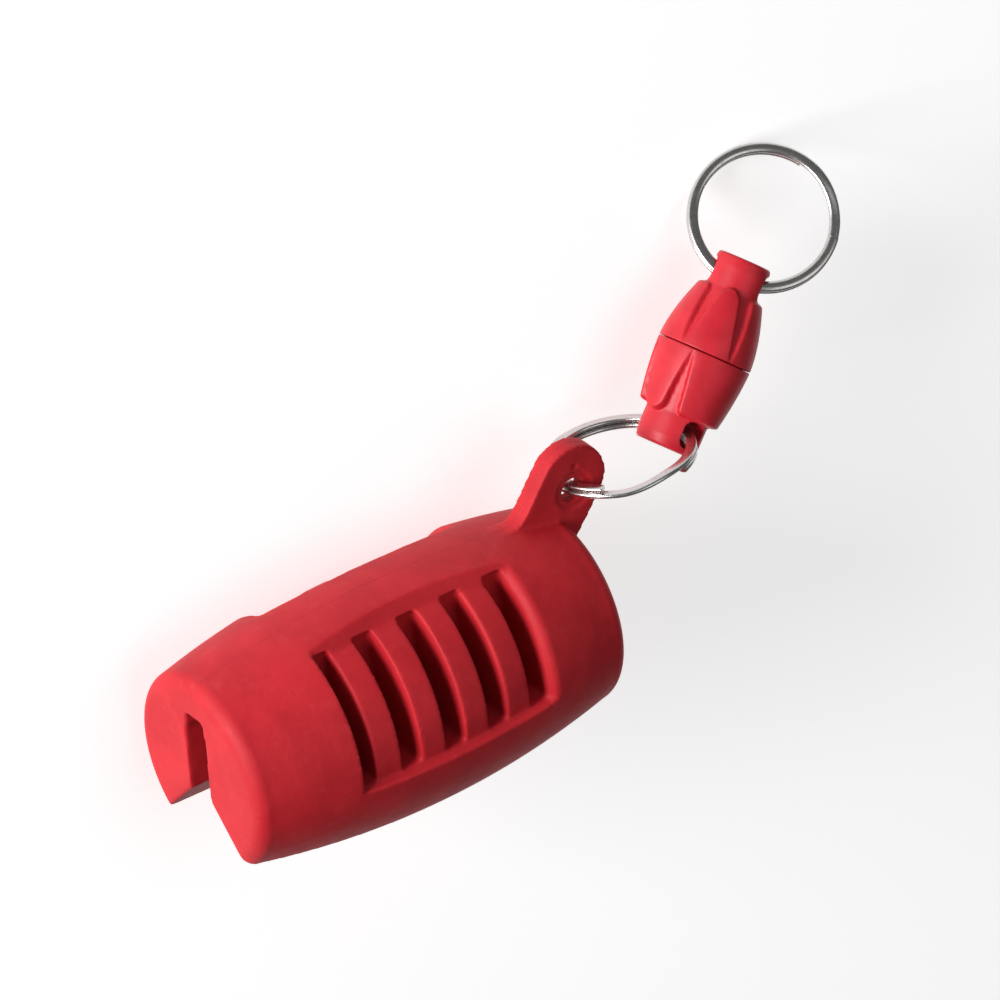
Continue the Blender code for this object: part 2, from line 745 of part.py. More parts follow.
def main():
    """Build the arrow puller and stand it on the ground plane over the origin."""
    clear_scene()
    parts = new_collection("arrow_puller")
    cutters = new_collection("cutters")
    rubber = make_material("moulded_rubber", RUBBER_RED, 0.62, 0.0)
    plastic = make_material("moulded_plastic", PLASTIC_RED, 0.38, 0.0)
    nickel = make_material("nickel_plate", NICKEL, 0.18, 1.0)
    zinc = make_material("zinc_plate", ZINC, 0.35, 1.0)
    magnet_plate = make_material("magnet_plate", MAGNET_SILVER, 0.22, 1.0)

    grip = build_grip(parts, cutters, rubber)
    surface = corners([grip])[0].z
    lug_ring = build_split_ring(
        "lug_ring", lug_ring_frame(), LUG_RING_CROSSOVER_AT, parts, cutters, nickel
    )
    droop = key_ring_droop(surface)
    key_ring = build_split_ring(
        "key_ring", key_ring_frame(droop), KEY_RING_CROSSOVER_AT, parts, cutters, nickel
    )
    lower = seam_frame(False)
    upper = seam_frame(True)
    lower_face = -SPIGOT_HEIGHT
    upper_face = SPIGOT_HEIGHT + FIT_GAP
    lower_profile = [*shell_outside(LOWER_SHOULDER_RADIUS), *spigot_inside()]
    upper_profile = [*shell_outside(UPPER_SHOULDER_RADIUS), *socket_inside()]
    lower_pieces = [
        build_shell("lower_shell", lower_profile, lower, parts, cutters, plastic),
        build_cup("lower_cup", lower_face, lower, parts, zinc),
        build_magnet("lower_magnet", lower_face, lower, parts, magnet_plate),
    ]
    upper_shell = build_shell("upper_shell", upper_profile, upper, parts, cutters, plastic)
    upper_magnetics = [
        build_cup("upper_cup", upper_face, upper, parts, zinc),
        build_magnet("upper_magnet", upper_face, upper, parts, magnet_plate),
    ]
    for item in (lug_ring, key_ring):
        smooth(item)

    root = pivot("ground", Matrix.Identity(4), parts, None)
    lug_pivot = pivot("lug_pivot", Matrix.Translation(LUG_HOLE), parts, root)
    neck_pivot = pivot("lower_neck_pivot", lower_neck_frame(), parts, lug_pivot)
    pull_pivot = pivot("pull_pivot", upper, parts, neck_pivot)
    swivel_pivot = pivot("swivel_pivot", upper, parts, pull_pivot)
    key_pivot = pivot("upper_neck_pivot", upper_neck_frame(), parts, swivel_pivot)
    attach(grip, root)
    attach(lug_ring, lug_pivot)
    for item in lower_pieces:
        attach(item, neck_pivot)
    for item in upper_magnetics:
        attach(item, pull_pivot)
    attach(upper_shell, swivel_pivot)
    attach(key_ring, key_pivot)
    for item in cutters.objects:
        attach(item, root)

    low, high = corners([item for item in parts.objects if item.type == "MESH"])
    root.location = (-(low.x + high.x) / 2.0, -(low.y + high.y) / 2.0, -low.z)
    bpy.context.view_layer.update()


main()
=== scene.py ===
"""The arrow puller's looks: its moulded grip, split rings and coupling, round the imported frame."""

import json
import logging
import math
from collections.abc import Callable, Iterable, Sequence
from dataclasses import dataclass, field
from enum import Enum
from typing import Any

import bpy
from mathutils import Matrix, Vector

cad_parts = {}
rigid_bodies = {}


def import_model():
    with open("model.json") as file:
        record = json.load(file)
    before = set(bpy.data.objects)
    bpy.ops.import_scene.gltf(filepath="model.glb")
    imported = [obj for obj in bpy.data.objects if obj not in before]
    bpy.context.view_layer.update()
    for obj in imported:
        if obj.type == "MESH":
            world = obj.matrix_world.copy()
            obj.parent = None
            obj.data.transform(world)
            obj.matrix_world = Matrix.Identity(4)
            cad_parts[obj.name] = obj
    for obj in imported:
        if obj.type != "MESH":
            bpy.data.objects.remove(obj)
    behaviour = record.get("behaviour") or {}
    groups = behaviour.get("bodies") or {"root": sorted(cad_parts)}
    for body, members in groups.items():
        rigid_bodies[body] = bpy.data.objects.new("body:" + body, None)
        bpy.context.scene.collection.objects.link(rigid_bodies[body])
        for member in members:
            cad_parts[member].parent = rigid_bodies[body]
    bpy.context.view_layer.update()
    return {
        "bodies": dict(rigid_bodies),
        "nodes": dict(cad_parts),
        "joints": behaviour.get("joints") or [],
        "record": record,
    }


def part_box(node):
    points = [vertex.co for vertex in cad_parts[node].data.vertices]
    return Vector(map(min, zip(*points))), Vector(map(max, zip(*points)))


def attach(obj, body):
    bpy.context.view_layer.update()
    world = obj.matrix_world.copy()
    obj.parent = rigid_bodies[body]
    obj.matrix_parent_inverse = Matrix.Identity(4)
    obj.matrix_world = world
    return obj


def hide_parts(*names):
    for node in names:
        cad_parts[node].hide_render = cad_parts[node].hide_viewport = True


MM = 0.001
LOG = logging.getLogger("arrow_puller")
ALONG = Matrix(((0, 0, 1, 0), (0, 1, 0, 0), (-1, 0, 0, 0), (0, 0, 0, 1)))
ACROSS = Matrix(((0, 0, 1, 0), (1, 0, 0, 0), (0, 1, 0, 0), (0, 0, 0, 1)))

Colour = tuple[float, float, float]
Point = tuple[float, float]


class Side(Enum):
    """Which flank of the grip, or which end of the coupling, a shape belongs to."""

    UPPER = 1
    LOWER = -1


# ---------------------------------------------------------------- modelling helpers


def only(item: bpy.types.Object) -> bpy.types.Object:
    """Make an object the only selected one, and the active one.

    Args:
        item: The object.

    Returns:
        The same object.
    """
    for other in bpy.context.view_layer.objects:
        other.select_set(False)
    item.hide_viewport = False
    item.select_set(True)
    bpy.context.view_layer.objects.active = item
    return item


def edit(item: bpy.types.Object, steps: Callable[[], None]) -> None:
    """Run steps in an object's edit mode, with its whole mesh selected to begin with.

    Args:
        item: The object.
        steps: What is done in edit mode.
    """
    only(item)
    bpy.ops.object.mode_set(mode="EDIT")
    bpy.ops.mesh.select_all(action="SELECT")
    steps()
    bpy.ops.object.mode_set(mode="OBJECT")


def outward(item: bpy.types.Object) -> None:
    """Merge a mesh's doubles and point its faces outwards.

    Args:
        item: The object.
    """

    def steps() -> None:
        bpy.ops.mesh.remove_doubles(threshold=0.001 * MM)
        bpy.ops.mesh.normals_make_consistent(inside=False)

    edit(item, steps)


def finish_modifier(item: bpy.types.Object, kind: str, **settings: Any) -> None:
    """Add a modifier, set it and apply it.

    Args:
        item: The object.
        kind: The modifier's type.
        settings: The modifier's settings by name.
    """
    only(item)
    modifier = item.modifiers.new(kind.lower(), kind)
    for name, value in settings.items():
        setattr(modifier, name, value)
    bpy.ops.object.modifier_apply(modifier=modifier.name)


def combine(item: bpy.types.Object, tools: Iterable[bpy.types.Object], operation: str) -> None:
    """Cut an object with tools, or join tools to it, and remove the tools.

    Args:
        item: The object.
        tools: The cutting or joined solids.
        operation: The boolean's operation.
    """
    for tool in tools:
        finish_modifier(item, "BOOLEAN", operation=operation, solver="EXACT", object=tool)
        bpy.data.objects.remove(tool, do_unlink=True)


def place(item: bpy.types.Object, matrix: Matrix) -> bpy.types.Object:
    """Move an object's mesh by a matrix and leave the object at the origin.

    Args:
        item: The object.
        matrix: The move.

    Returns:
        The same object.
    """
    item.data.transform(matrix @ item.matrix_world)
    if matrix.determinant() < 0.0:
        item.data.flip_normals()
    item.matrix_world = Matrix.Identity(4)
    item.data.update()
    return item


def soften(item: bpy.types.Object, voxel: float, rounds: int, share: float = 1.0) -> None:
    """Rebuild a solid's skin as an even net and relax it, which rounds every edge.

    Args:
        item: The object.
        voxel: The net's spacing in millimetres.
        rounds: How many times the net is relaxed.
        share: The share of its triangles that is kept.
    """
    finish_modifier(item, "REMESH", mode="VOXEL", voxel_size=voxel * MM, use_smooth_shade=True)
    finish_modifier(item, "SMOOTH", factor=0.5, iterations=rounds)
    if share < 1.0:
        finish_modifier(item, "DECIMATE", ratio=share, use_collapse_triangulate=True)
    outward(item)
    only(item)
    bpy.ops.object.shade_smooth()


def cuboid(name: str, low: Sequence[float], high: Sequence[float]) -> bpy.types.Object:
    """A box between two corners.

    Args:
        name: The object's name.
        low: The lowest corner in millimetres.
        high: The highest corner in millimetres.

    Returns:
        The object.
    """
    centre = [(a + b) / 2.0 * MM for a, b in zip(low, high)]
    bpy.ops.object.select_all(action="DESELECT")
    bpy.ops.mesh.primitive_cube_add(size=1.0, location=centre)
    item = bpy.context.object
    item.name = name
    item.scale = [(b - a) * MM for a, b in zip(low, high)]
    bpy.ops.object.transform_apply(location=True, rotation=False, scale=True)
    return item


def turned(name: str, profile: Sequence[Point], segments: int) -> bpy.types.Object:
    """A solid turned about Z: a disc that is extruded and resized from point to point.

    Args:
        name: The object's name.
        profile: Radius and height of each ring in millimetres, from one end face to the other.
        segments: The sides of each ring.

    Returns:
        The object.
    """
    (radius, height), *rest = profile
    bpy.ops.object.select_all(action="DESELECT")
    bpy.ops.mesh.primitive_circle_add(
        vertices=segments, radius=radius * MM, fill_type="NGON", location=(0.0, 0.0, height * MM)
    )
    item = bpy.context.object
    item.name = name
    bpy.ops.object.transform_apply(location=True, rotation=False, scale=False)
    stations = [(radius, height), *rest]

    def steps() -> None:
        for (was, low), (now, high) in zip(stations, rest):
            bpy.ops.mesh.extrude_region_move(
                TRANSFORM_OT_translate={"value": (0.0, 0.0, (high - low) * MM)}
            )
            if abs(now - was) > 1e-6:
                bpy.ops.transform.resize(
                    value=(now / was, now / was, 1.0), center_override=(0.0, 0.0, high * MM)
                )

    edit(item, steps)
    outward(item)
    return item


def plate(name: str, outline: Sequence[Point], thickness: float) -> bpy.types.Object:
    """A flat plate in the XY plane, equally thick to both sides of it.

    Args:
        name: The object's name.
        outline: The corners in millimetres.
        thickness: The thickness in millimetres.

    Returns:
        The object.
    """
    half = thickness / 2.0 * MM
    mesh = bpy.data.meshes.new(name)
    corners = [(x * MM, y * MM, -half) for x, y in outline]
    mesh.from_pydata(corners, [], [tuple(range(len(corners)))])
    item = bpy.data.objects.new(name, mesh)
    bpy.context.collection.objects.link(item)

    def steps() -> None:
        bpy.ops.mesh.extrude_region_move(TRANSFORM_OT_translate={"value": (0.0, 0.0, 2.0 * half)})

    edit(item, steps)
    outward(item)
    return item


def arc(centre: Point, radius: float, start: float, end: float, segments: int) -> list[Point]:
    """Points along a circular arc.

    Args:
        centre: The arc's centre.
        radius: The radius.
        start: The first angle in degrees.
        end: The last angle in degrees.
        segments: How many pieces the arc has.

    Returns:
        The points, ends included.
    """
    points = []
    for step in range(segments + 1):
        angle = math.radians(start + (end - start) * step / segments)
        points.append(
            (centre[0] + radius * math.cos(angle), centre[1] + radius * math.sin(angle))
        )
    return points


def axes_frame(origin: Vector, x_axis: Vector, z_axis: Vector) -> Matrix:
    """A frame with its Z along one direction and its X as near another as that allows.

    Args:
        origin: The frame's origin.
        x_axis: Roughly where X points.
        z_axis: Where Z points.

    Returns:
        The frame's matrix.
    """
    z = z_axis.normalized()
    x = (x_axis - z * x_axis.dot(z)).normalized()
    matrix = Matrix((x, z.cross(x), z)).transposed().to_4x4()
    matrix.translation = origin
    return matrix


# ---------------------------------------------------------------- shading helpers


class Paint:
    """One material's node tree, built a node at a time."""

    def __init__(self, name: str) -> None:
        """Start a material with a Principled shader.

        Args:
            name: The material's name.
        """
        self.material = bpy.data.materials.new(name)
        self.material.use_nodes = True
        self.tree = self.material.node_tree
        self.shader = self.tree.nodes["Principled BSDF"]
        coordinates = self.node("ShaderNodeTexCoord").outputs["Object"]
        inputs = {0: coordinates, "Scale": 1.0 / MM}
        scaled = self.node("ShaderNodeVectorMath", {"operation": "SCALE"}, inputs)
        self.place = scaled.outputs["Vector"]

    def node(
        self,
        kind: str,
        settings: dict[str, Any] | None = None,
        inputs: dict[str | int, Any] | None = None,
    ) -> bpy.types.Node:
        """Add a node.

        Args:
            kind: The node's type.
            settings: Its settings, which are set first.
            inputs: What its sockets hold or are linked to.

        Returns:
            The node.
        """
        made = self.tree.nodes.new(kind)
        for name, value in (settings or {}).items():
            setattr(made, name, value)
        for socket, value in (inputs or {}).items():
            self.feed(made.inputs[socket], value)
        return made

    def feed(self, socket: bpy.types.NodeSocket, value: Any) -> None:
        """Set a socket to a constant, or link it.

        Args:
            socket: The input.
            value: A number, a colour, a socket or a Value.
        """
        if isinstance(value, Value):
            self.tree.links.new(value.socket, socket)
        elif isinstance(value, bpy.types.NodeSocket):
            self.tree.links.new(value, socket)
        elif isinstance(value, tuple) and len(value) == 3 and socket.type == "RGBA":
            socket.default_value = (*value, 1.0)
        else:
            socket.default_value = value

    def axis(self, index: int, vector: bpy.types.NodeSocket | None = None) -> "Value":
        """One coordinate, in millimetres.

        Args:
            index: 0 for X, 1 for Y or 2 for Z.
            vector: A vector in place of the piece's coordinates.

        Returns:
            The coordinate.
        """
        split = self.node("ShaderNodeSeparateXYZ", inputs={0: vector or self.place})
        return Value(self, split.outputs[index])

    def inside(self, frame: Matrix) -> bpy.types.NodeSocket:
        """The coordinates in a frame of the piece's own, in millimetres.

        Args:
            frame: The frame in the row's metres.

        Returns:
            The vector socket.
        """
        back = frame.inverted()
        mapping = self.node(
            "ShaderNodeMapping",
            {"vector_type": "POINT"},
            {
                "Vector": self.place,
                "Location": tuple(back.translation / MM),
                "Rotation": tuple(back.to_euler("XYZ")),
            },
        )
        return mapping.outputs["Vector"]

    def noise(
        self,
        scale: float,
        detail: float = 2.0,
        rough: float = 0.5,
        vector: bpy.types.NodeSocket | None = None,
    ) -> "Value":
        """Noise between 0 and 1.

        Args:
            scale: Features to the millimetre.
            detail: Octaves of finer noise.
            rough: How strong the finer octaves are.
            vector: A vector in place of the piece's coordinates.

        Returns:
            The noise.
        """
        made = self.node(
            "ShaderNodeTexNoise",
            {"noise_dimensions": "3D"},
            {"Vector": vector or self.place, "Scale": scale, "Detail": detail, "Roughness": rough},
        )
        return Value(self, made.outputs["Fac"])

    def pits(self, scale: float, vector: bpy.types.NodeSocket | None = None) -> "Value":
        """The distance to scattered points, 0 at each.

        Args:
            scale: Points to the millimetre.
            vector: A vector in place of the piece's coordinates.

        Returns:
            The distance.
        """
        made = self.node(
            "ShaderNodeTexVoronoi",
            {"feature": "F1"},
            {"Vector": vector or self.place, "Scale": scale},
        )
        return Value(self, made.outputs["Distance"])

    def blend(self, factor: "Value", first: Any, second: Any) -> bpy.types.NodeSocket:
        """A colour between two.

        Args:
            factor: 0 for the first and 1 for the second.
            first: A colour or a colour socket.
            second: A colour or a colour socket.

        Returns:
            The colour socket.
        """
        made = self.node(
            "ShaderNodeMix",
            {"data_type": "RGBA"},
            {0: factor, 6: first, 7: second},
        )
        return made.outputs[2]

    def bump(
        self, height: "Value", distance: float, normal: bpy.types.NodeSocket | None = None
    ) -> bpy.types.NodeSocket:
        """A normal tilted by a height.

        Args:
            height: The height, from 0 to 1.
            distance: What 1 stands for, in millimetres.
            normal: A normal that is already tilted.

        Returns:
            The normal socket.
        """
        inputs = {"Height": height, "Distance": distance * MM, "Strength": 1.0}
        if normal is not None:
            inputs["Normal"] = normal
        return self.node("ShaderNodeBump", inputs=inputs).outputs["Normal"]

    def done(self, **inputs: Any) -> bpy.types.Material:
        """Feed the shader and hand over the material.

        Args:
            inputs: The shader's sockets, with underscores for spaces.

        Returns:
            The material.
        """
        for name, value in inputs.items():
            self.feed(self.shader.inputs[name.replace("_", " ")], value)
        return self.material


class Value:
    """A number that varies over a surface, which Python's operators work on."""

    def __init__(self, paint: Paint, socket: bpy.types.NodeSocket) -> None:
        """Wrap a socket.

        Args:
            paint: The material that it is in.
            socket: The output socket.
        """
        self.paint = paint
        self.socket = socket

    def math(self, operation: str, *values: Any, clamp: bool = False) -> "Value":
        """Add a Math node on this value and others.

        Args:
            operation: The node's operation.
            values: Its inputs in order.
            clamp: Whether the result is held between 0 and 1.

        Returns:
            The result.
        """
        made = self.paint.node(
            "ShaderNodeMath",
            {"operation": operation, "use_clamp": clamp},
            dict(enumerate(values)),
        )
        return Value(self.paint, made.outputs[0])

    def __add__(self, other: Any) -> "Value":
        """The sum."""
        return self.math("ADD", self, other)

    def __radd__(self, other: Any) -> "Value":
        """The sum, from the right."""
        return self.math("ADD", other, self)

    def __sub__(self, other: Any) -> "Value":
        """The difference."""
        return self.math("SUBTRACT", self, other)

    def __rsub__(self, other: Any) -> "Value":
        """The difference, from the right."""
        return self.math("SUBTRACT", other, self)

    def __mul__(self, other: Any) -> "Value":
        """The product."""
        return self.math("MULTIPLY", self, other)

    def __rmul__(self, other: Any) -> "Value":
        """The product, from the right."""
        return self.math("MULTIPLY", other, self)

    def __truediv__(self, other: Any) -> "Value":
        """The quotient."""
        return self.math("DIVIDE", self, other)

    def __abs__(self) -> "Value":
        """The size without its sign."""
        return self.math("ABSOLUTE", self)

    def held(self) -> "Value":
        """The value held between 0 and 1."""
        return self.math("ADD", self, 0.0, clamp=True)

    def ramp(self, start: float, end: float) -> "Value":
        """A smooth step.

        Args:
            start: Where it is 0.
            end: Where it is 1.

        Returns:
            The step.
        """
        made = self.paint.node(
            "ShaderNodeMapRange",
            {"interpolation_type": "SMOOTHSTEP", "clamp": True},
            {"Value": self, "From Min": start, "From Max": end, "To Min": 0.0, "To Max": 1.0},
        )
        return Value(self.paint, made.outputs["Result"])

    def line(self, at: float, width: float) -> "Value":
        """A soft line, 1 along it and 0 beside it.

        Args:
            at: The value along the line.
            width: Its half width.

        Returns:
            The line.
        """
        return 1.0 - abs(self - at).ramp(0.0, width)


# ---------------------------------------------------------------- finishes


@dataclass(frozen=True)
class MouldedRubber:
    """Matt red rubber: fine moulded grain, faint mottling, a mould line and rubbed high spots."""

    colour: Colour = (0.520, 0.014, 0.022)
    shade: Colour = (0.455, 0.010, 0.018)
    bloom: Colour = (0.560, 0.030, 0.038)
    roughness: float = 0.58
    grain: float = 1.9
    grain_height: float = 0.045
    line_width: float = 0.16

    def paint(self, name: str, frame: Matrix) -> bpy.types.Material:
        """Make the material.

        Args:
            name: The material's name.
            frame: The grip's frame, whose XY plane is where the mould's halves met.

        Returns:
            The material.
        """
        paint = Paint(name)
        own = paint.inside(frame)
        mottle = paint.noise(0.09, 3.0, 0.6, own)
        cloud = paint.noise(0.45, 4.0, 0.6, own)
        grain = paint.noise(self.grain, 3.0, 0.62, own)
        pores = paint.pits(1.3, own).ramp(0.10, 0.30)
        body = paint.blend(mottle.ramp(0.35, 0.65), self.shade, self.colour)
        rubbed = paint.blend(cloud.ramp(0.52, 0.80) * 0.45, body, self.bloom)
        line = paint.axis(2, own).line(0.0, self.line_width)
        grained = paint.bump(grain * 0.8 + pores * 0.2, self.grain_height)
        seamed = paint.bump(line, 0.07, grained)
        waved = paint.bump(paint.noise(0.16, 1.0, 0.4, own), 0.25, seamed)
        return paint.done(
            Base_Color=rubbed,
            Roughness=self.roughness + grain * 0.10 - cloud.ramp(0.5, 0.8) * 0.05,
            Specular_IOR_Level=0.30,
            Normal=waved,
        )


@dataclass(frozen=True)
class MouldedPlastic:
    """Satin red plastic: near-smooth, with fine orange peel, scuffs and a faint flow pattern."""

    colour: Colour = (0.600, 0.016, 0.030)
    shade: Colour = (0.520, 0.011, 0.023)
    scuff: Colour = (0.640, 0.050, 0.060)
    roughness: float = 0.43

    def paint(self, name: str, frame: Matrix) -> bpy.types.Material:
        """Make the material.

        Args:
            name: The material's name.
            frame: The coupling half's frame, with Z from the seam to the neck.

        Returns:
            The material.
        """
        paint = Paint(name)
        own = paint.inside(frame)
        flow = paint.noise(0.22, 2.0, 0.5, own)
        peel = paint.noise(2.6, 2.0, 0.5, own)
        marks = paint.noise(1.1, 5.0, 0.7, own)
        body = paint.blend(flow.ramp(0.35, 0.65), self.shade, self.colour)
        worn = paint.blend(marks.ramp(0.62, 0.74) * 0.35, body, self.scuff)
        return paint.done(
            Base_Color=worn,
            Roughness=self.roughness + peel * 0.06 + marks.ramp(0.55, 0.75) * 0.12,
            Normal=paint.bump(peel * 0.7 + marks * 0.3, 0.028),
            Specular_IOR_Level=0.35,
            Coat_Weight=0.05,
            Coat_Roughness=0.35,
        )


@dataclass(frozen=True)
class PlatedMetal:
    """Plated metal: its colour, its polish, fine scratches and dull spots."""

    colour: Colour
    dull: Colour
    roughness: float
    scratch: float = 0.010
    spots: float = 0.35

    def paint(self, name: str) -> bpy.types.Material:
        """Make the material.

        Args:
            name: The material's name.

        Returns:
            The material.
        """
        paint = Paint(name)
        haze = paint.noise(0.5, 4.0, 0.65)
        fine = paint.noise(7.0, 2.0, 0.6)
        spots = paint.pits(0.9).ramp(0.16, 0.05) * self.spots
        body = paint.blend(haze.ramp(0.48, 0.75) * 0.6 + spots * 0.4, self.colour, self.dull)
        return paint.done(
            Base_Color=body,
            Metallic=1.0,
            Roughness=self.roughness + haze.ramp(0.45, 0.8) * 0.10 + spots * 0.15,
            Normal=paint.bump(fine, self.scratch),
        )


NICKEL = PlatedMetal((0.62, 0.61, 0.60), (0.46, 0.45, 0.44), 0.24)
ZINC = PlatedMetal((0.55, 0.57, 0.60), (0.42, 0.44, 0.47), 0.34, scratch=0.02)
MAGNET = PlatedMetal((0.66, 0.65, 0.62), (0.50, 0.49, 0.46), 0.20, spots=0.6)


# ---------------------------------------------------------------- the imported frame


@dataclass(frozen=True)
class Hinge:
    """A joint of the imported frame: where it turns or slides, and about or along what."""

    place: Vector
    axis: Vector


class Chain:
    """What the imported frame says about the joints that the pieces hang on."""

    def __init__(self, record: dict[str, Any]) -> None:
        """Read the joints.

        Args:
            record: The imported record.
        """
        self.joints: dict[str, Hinge] = {}
        for joint in record["behaviour"]["joints"]:
            at = Vector(joint.get("pos_m", (0.0, 0.0, 0.0)))
            self.joints[joint["name"]] = Hinge(at, Vector(joint["axis"]).normalized())

    def seam(self, side: Side) -> Matrix:
        """A coupling half's frame: Z from the seam to its neck, X along the neck's opening.

        Args:
            side: The lower or the upper half.

        Returns:
            The frame's matrix.
        """
        swivel = self.joints["swivel"]
        neck = "lower_neck_swing" if side is Side.LOWER else "upper_neck_swing"
        return axes_frame(swivel.place, self.joints[neck].axis, swivel.axis * side.value)


@dataclass
class Grip:
    """The rubber grip, in millimetres: X forward with the front face at 0, Y out of the slot."""

    length: float = 81.0
    middle_radius: float = 23.0
    end_radius: float = 18.3
    rim: float = 3.0
    segments: int = 144
    slot_width: float = 6.2
    slot_above: float = 10.8
    slot_below: float = 4.9
    window_start: float = 20.6
    ribs: int = 4
    rib: float = 5.2
    gap: float = 4.25
    front_gap: float = 3.5
    rear_gap: float = 4.2
    recess: float = 1.7
    cheek_run: float = 1.7
    cheek_drop: float = 1.5
    cheek_share: float = 0.985
    cheek_shift: float = 0.12
    cheek_lift: float = 0.17
    gap_drop: float = 0.15
    window_top: float = -75.0
    rib_top: float = -67.5
    window_low: float = 9.0
    core: float = 3.9
    lug_thickness: float = 4.0
    lug_hole: float = 4.6
    lug_head: float = 7.1
    lug_lead: float = 1.9
    hole_reach: float = 2.0
    hole_rise: float = 5.3
    lug_front: float = 10.4
    lug_rear_drop: float = 7.8
    fillet: float = 3.4
    voxel: float = 0.4
    finish: MouldedRubber = field(default_factory=MouldedRubber)

    def radius(self, behind: float) -> float:
        """The barrel's radius at a distance behind its front face."""
        half = self.length / 2.0
        bulge = self.middle_radius - self.end_radius
        sweep = (half * half + bulge * bulge) / (2.0 * bulge)
        return self.middle_radius - sweep + math.sqrt(sweep * sweep - (behind - half) ** 2)

    @property
    def hole(self) -> Vector:
        """The lug hole's middle."""
        return Vector(
            (-self.length - self.hole_reach, -self.end_radius - self.hole_rise, 0.0)
        )

    def frame(self, chain: Chain) -> Matrix:
        """The grip's frame in the row, from the lug's joint."""
        return Matrix.Translation(chain.joints["lug_swing"].place - self.hole * MM)

    def barrel(self, inset: float) -> bpy.types.Object:
        """The turned barrel.

        Args:
            inset: How far its side is drawn in.

        Returns:
            The barrel.
        """
        edge = self.radius(self.rim) - self.rim
        profile = [(edge * 0.3, 0.0)]
        profile += [
            (radius - inset, along) for radius, along in arc((edge, -self.rim), self.rim, 84, 0, 8)
        ]
        count = 36
        run = self.length - 2.0 * self.rim
        for step in range(1, count):
            behind = self.rim + run * step / count
            profile.append((self.radius(behind) - inset, -behind))
        centre = (edge, -self.length + self.rim)
        profile += [
            (radius - inset, along) for radius, along in arc(centre, self.rim, 0, -84, 8)
        ]
        profile.append((edge * 0.3, -self.length))
        barrel = turned("barrel", profile, self.segments)
        return place(barrel, ALONG)

    def slot(self) -> bpy.types.Object:
        """The arrow slot: a rounded channel whose mouth flares at 45 degrees."""
        half = self.slot_width / 2.0
        spread = self.middle_radius
        low = -self.slot_above
        outline = [
            (self.slot_below + spread, -half - spread),
            (self.slot_below + spread, half + spread),
            (self.slot_below, half),
            *arc((low + half, 0.0), half, 90, 270, 18),
            (self.slot_below, -half),
        ]
        channel = plate("slot", outline, self.length * 1.4)
        return place(channel, Matrix.Translation((-self.length / 2.0 * MM, 0.0, 0.0)) @ ACROSS)

    def slot_nick(self) -> bpy.types.Object:
        """The squarish nick where the slot's closed end meets the front face."""
        half = self.slot_width / 2.0 - 0.5
        deep = self.slot_above + 1.0
        nick = cuboid("slot_nick", (-2.2, -deep, -half), (2.0, -deep + 3.0, half))
        finish_modifier(nick, "BEVEL", width=0.6 * MM, segments=3)
        return nick

    def section(self, angle: float, radius: float) -> Point:
        """A point on the barrel's section, from straight up and positive towards the mouth."""
        turn = math.radians(angle)
        return (radius * math.sin(turn), radius * math.cos(turn))

    def gap_widths(self) -> list[float]:
        """The gaps' widths in front of, between and behind the ribs."""
        return [self.front_gap, *[self.gap] * (self.ribs - 1), self.rear_gap]

    def window_length(self) -> float:
        """The finger window's length along the barrel."""
        return self.ribs * self.rib + sum(self.gap_widths())

    def window(self, side: Side) -> list[bpy.types.Object]:
        """What one finger window takes out of the barrel.

        Args:
            side: The flank.

        Returns:
            The sunk field over the ribs, the gaps beside them and the sloping rear cheek.
        """
        face = self.middle_radius - self.recess
        floor = self.slot_width / 2.0 + self.core
        top = Vector(self.section(self.window_top, self.middle_radius + 0.4))
        foot = Vector(self.section(self.rib_top, face))
        low = Vector(self.section(self.window_low, self.middle_radius))
        outer = self.middle_radius + 8.0
        slope = (foot - top).normalized()
        outline = [
            tuple(top - slope * 5.0),
            tuple(foot + slope * 1.3),
            (foot.x + 2.6, floor + 1.3),
            (low.x - 1.4, floor + 1.3),
            (low.x - 1.4, low.y - 2.6),
            (low.x + 2.4, outer),
            (top.x - slope.x * 5.0, outer),
        ]
        outline = [(across, up * side.value) for across, up in outline]
        length = self.window_length()
        middle = -(self.window_start + length / 2.0)
        field_block = plate("rib_field", outline, length)
        place(field_block, Matrix.Translation((middle * MM, 0.0, 0.0)) @ ACROSS)
        combine(field_block, [self.barrel(self.recess)], "DIFFERENCE")
        shapes = [field_block]
        behind = self.window_start
        for width in self.gap_widths():
            heights = sorted((floor * side.value, outer * side.value))
            gap = cuboid(
                "rib_gap",
                (-behind - width, foot.x + self.gap_drop, heights[0]),
                (-behind, low.x - 1.4, heights[1]),
            )
            finish_modifier(gap, "BEVEL", width=0.7 * MM, segments=3)
            shapes.append(gap)
            behind += width + self.rib
        inner = [
            (across * self.cheek_share - self.cheek_shift, up + self.cheek_lift * side.value)
            for across, up in outline
        ]
        shapes.append(self.rear_cheek(inner))
        return shapes

    def rear_cheek(self, outline: Sequence[Point]) -> bpy.types.Object:
        """The soft slope at the window's rear end, where the barrel runs down into the last gap.

        Args:
            outline: The window's outline across the barrel.

        Returns:
            The shape that leaves the slope.
        """
        rear = self.window_start + self.window_length()
        surface = self.radius(rear)
        start = rear + self.cheek_run
        stop = rear - self.rear_gap + 0.4
        block = plate("rear_cheek", outline, start - stop)
        place(block, Matrix.Translation((-(start + stop) / 2.0 * MM, 0.0, 0.0)) @ ACROSS)
        cone = [
            (surface - self.cheek_drop, -stop + 2.0),
            (surface - self.cheek_drop, -rear),
            (surface - self.cheek_drop * 0.35, -rear - self.cheek_run * 0.5),
            (self.radius(start) + 0.2, -start - 0.5),
        ]
        combine(block, [place(turned("cone", cone, self.segments), ALONG)], "DIFFERENCE")
        return block

